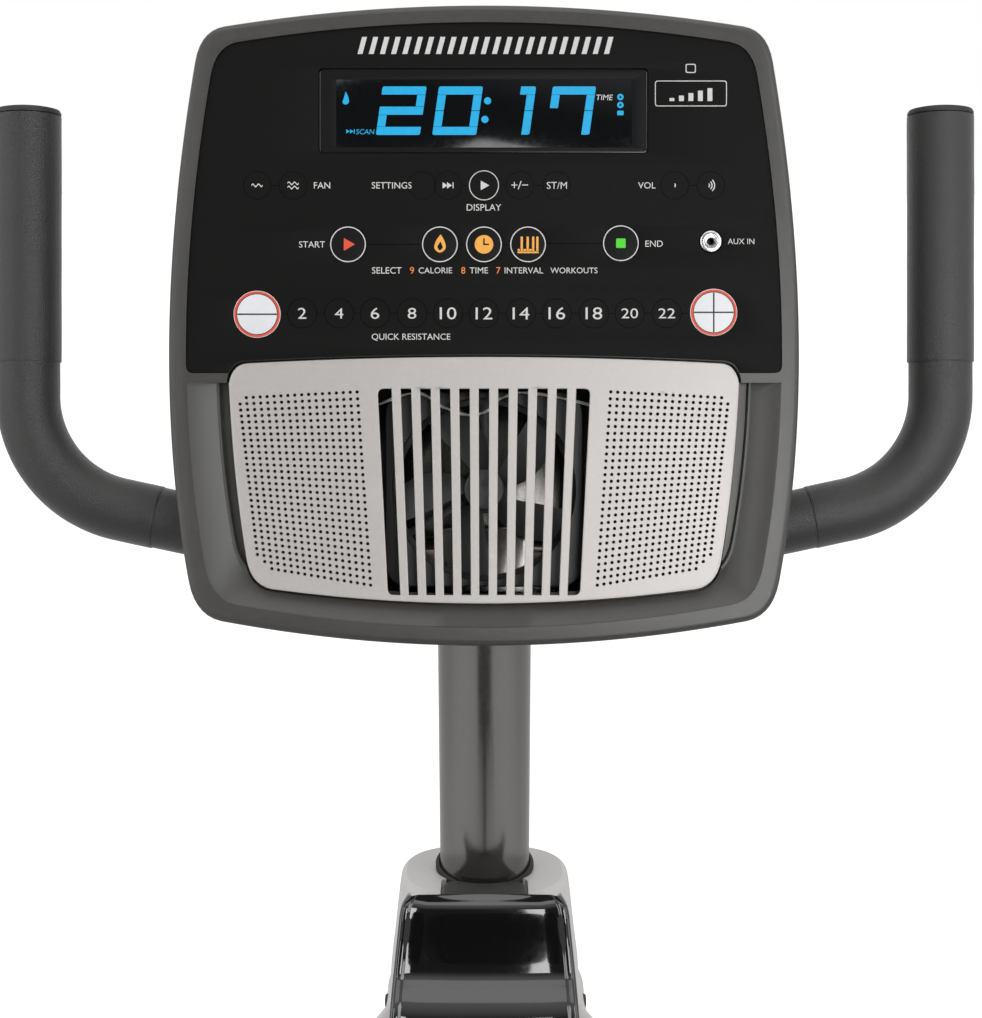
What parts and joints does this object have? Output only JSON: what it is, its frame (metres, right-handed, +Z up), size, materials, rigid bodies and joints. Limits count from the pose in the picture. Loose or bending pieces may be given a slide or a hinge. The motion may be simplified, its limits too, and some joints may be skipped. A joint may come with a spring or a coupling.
{
  "type": "exercise bike",
  "caption": "Recumbent exercise bike with a console on a mast, foam-gripped handlebar, enclosed drive with pedals, and a seat that slides on a rail.",
  "frame": {"origin": "on the floor, under the middle of the base", "axes": "+Z up; +Y from the seat towards the console and the pedals; +X to the rider's right"},
  "size_m": [0.6086, 1.64, 1.2359],
  "materials": {
    "frame_paint": "semi-gloss powder coat",
    "mast_paint": "semi-gloss powder coat",
    "rail_aluminium": "anodised extrusion",
    "brake_aluminium": "machined casting",
    "flywheel_iron": "machined rim, painted web",
    "crank_steel": "satin paint",
    "steel_bright": "nickel plated",
    "charcoal_plastic": "fine moulded texture",
    "overlay_film": "printed membrane",
    "key_white": "printed white",
    "key_dark": "printed membrane",
    "display_smoke": "smoked window",
    "circuit_board": "solder mask",
    "grille_silver": "silver paint",
    "black_plastic": "fine moulded texture",
    "silver_plastic": "silver grey, satin",
    "gloss_black": "high gloss",
    "grip_foam": "closed-cell foam",
    "rubber_black": "moulded rubber",
    "lead_white": "wire insulation",
    "seat_fabric": "woven upholstery over foam"
  },
  "bodies": {
    "frame": {"front_stabilizer": "frame_paint", "rear_stabilizer": "frame_paint", "main_beam": "frame_paint", "drive_frame": "frame_paint", "front_cap_left": "black_plastic", "front_cap_right": "black_plastic", "rear_cap_left": "black_plastic", "rear_cap_right": "black_plastic", "seat_rail": "rail_aluminium", "shroud_left": "silver_plastic", "shroud_right": "silver_plastic", "power_inlet": "black_plastic", "mast_collar": "silver_plastic", "mast_cover": "gloss_black", "drive_belt": "rubber_black", "resistance_motor": "black_plastic", "handlebar": "mast_paint", "grip_left": "grip_foam", "grip_right": "grip_foam", "grip_cap_left": "black_plastic", "grip_cap_right": "black_plastic", "mast": "mast_paint", "console_bezel": "charcoal_plastic", "control_overlay": "overlay_film", "display_lens": "display_smoke", "display_board": "circuit_board", "aux_jack": "steel_bright", "speaker_grille": "grille_silver", "fan_mount": "black_plastic", "speaker_left": "black_plastic", "speaker_right": "black_plastic", "speaker_lead": "lead_white", "console_back": "charcoal_plastic"},
    "crank": {"crank_pulley": "black_plastic", "crank_arm_left": "crank_steel", "crank_arm_right": "crank_steel"},
    "pedal_left": {"pedal_left": "black_plastic", "pedal_strap_left": "rubber_black"},
    "pedal_right": {"pedal_right": "black_plastic", "pedal_strap_right": "rubber_black"},
    "flywheel": {"flywheel": "flywheel_iron"},
    "brake": {"brake_yoke": "brake_aluminium"},
    "fan": {"fan_rotor": "black_plastic"},
    "wheel_left": {"transport_wheel_left": "rubber_black"},
    "wheel_right": {"transport_wheel_right": "rubber_black"},
    "seat": {"seat_frame": "frame_paint", "seat_board": "black_plastic", "seat_cushion": "seat_fabric", "backrest_shell": "black_plastic", "backrest_cushion": "seat_fabric", "seat_handle_left": "grip_foam", "seat_handle_right": "grip_foam"},
    "seat_lever": {"seat_lever": "black_plastic"},
    "key_minus": {"key_minus": "key_white"},
    "key_plus": {"key_plus": "key_white"},
    "key_start": {"key_start": "key_dark"},
    "key_end": {"key_end": "key_dark"},
    "key_calorie": {"key_calorie": "key_dark"},
    "key_time": {"key_time": "key_dark"},
    "key_interval": {"key_interval": "key_dark"}
  },
  "joints": [
    {"name": "flywheel_spin", "type": "hinge", "parent": "frame", "child": "flywheel", "pos_m": [0, 0.56, 0.33], "axis": [-1, 0, 0], "continuous": true},
    {"name": "crank_spin", "type": "hinge", "parent": "frame", "child": "crank", "pos_m": [0, 0.25, 0.385], "axis": [-1, 0, 0], "continuous": true},
    {"name": "pedal_left_spin", "type": "hinge", "parent": "crank", "child": "pedal_left", "pos_m": [0, 0.09, 0.385], "axis": [-1, 0, 0], "continuous": true},
    {"name": "pedal_right_spin", "type": "hinge", "parent": "crank", "child": "pedal_right", "pos_m": [0, 0.41, 0.385], "axis": [-1, 0, 0], "continuous": true},
    {"name": "brake_swing", "type": "hinge", "parent": "frame", "child": "brake", "pos_m": [0, 0.67691, 0.2625], "axis": [-1, 0, 0], "range_deg": [0, 8]},
    {"name": "fan_spin", "type": "hinge", "parent": "frame", "child": "fan", "pos_m": [0, 0.18665, 0.98119], "axis": [0, -0.9848, 0.1736], "continuous": true},
    {"name": "seat_slide", "type": "slide", "parent": "frame", "child": "seat", "axis": [0, 0.9976, -0.0698], "range_m": [-0.16, 0.07]},
    {"name": "seat_lever_pull", "type": "hinge", "parent": "seat", "child": "seat_lever", "pos_m": [0, -0.325, 0.38], "axis": [1, 0, 0], "range_deg": [0, 24], "stiffness_Nm_per_rad": 0.8, "springref_deg": -17.19},
    {"name": "wheel_left_spin", "type": "hinge", "parent": "frame", "child": "wheel_left", "pos_m": [-0.257, 0.792, 0.038], "axis": [-1, 0, 0], "continuous": true},
    {"name": "wheel_right_spin", "type": "hinge", "parent": "frame", "child": "wheel_right", "pos_m": [0.257, 0.792, 0.038], "axis": [-1, 0, 0], "continuous": true},
    {"name": "key_minus_press", "type": "slide", "parent": "frame", "child": "key_minus", "axis": [0, 0.9848, -0.1736], "range_m": [0, 0.0008], "stiffness_N_per_m": 800, "springref_m": -0.0005},
    {"name": "key_plus_press", "type": "slide", "parent": "frame", "child": "key_plus", "axis": [0, 0.9848, -0.1736], "range_m": [0, 0.0008], "stiffness_N_per_m": 800, "springref_m": -0.0005},
    {"name": "key_start_press", "type": "slide", "parent": "frame", "child": "key_start", "axis": [0, 0.9848, -0.1736], "range_m": [0, 0.0008], "stiffness_N_per_m": 800, "springref_m": -0.0005},
    {"name": "key_end_press", "type": "slide", "parent": "frame", "child": "key_end", "axis": [0, 0.9848, -0.1736], "range_m": [0, 0.0008], "stiffness_N_per_m": 800, "springref_m": -0.0005},
    {"name": "key_calorie_press", "type": "slide", "parent": "frame", "child": "key_calorie", "axis": [0, 0.9848, -0.1736], "range_m": [0, 0.0008], "stiffness_N_per_m": 800, "springref_m": -0.0005},
    {"name": "key_time_press", "type": "slide", "parent": "frame", "child": "key_time", "axis": [0, 0.9848, -0.1736], "range_m": [0, 0.0008], "stiffness_N_per_m": 800, "springref_m": -0.0005},
    {"name": "key_interval_press", "type": "slide", "parent": "frame", "child": "key_interval", "axis": [0, 0.9848, -0.1736], "range_m": [0, 0.0008], "stiffness_N_per_m": 800, "springref_m": -0.0005}
  ],
  "couplings": [
    {"joint": "crank_spin", "follows": "flywheel_spin", "ratio": 0.13077}
  ]
}
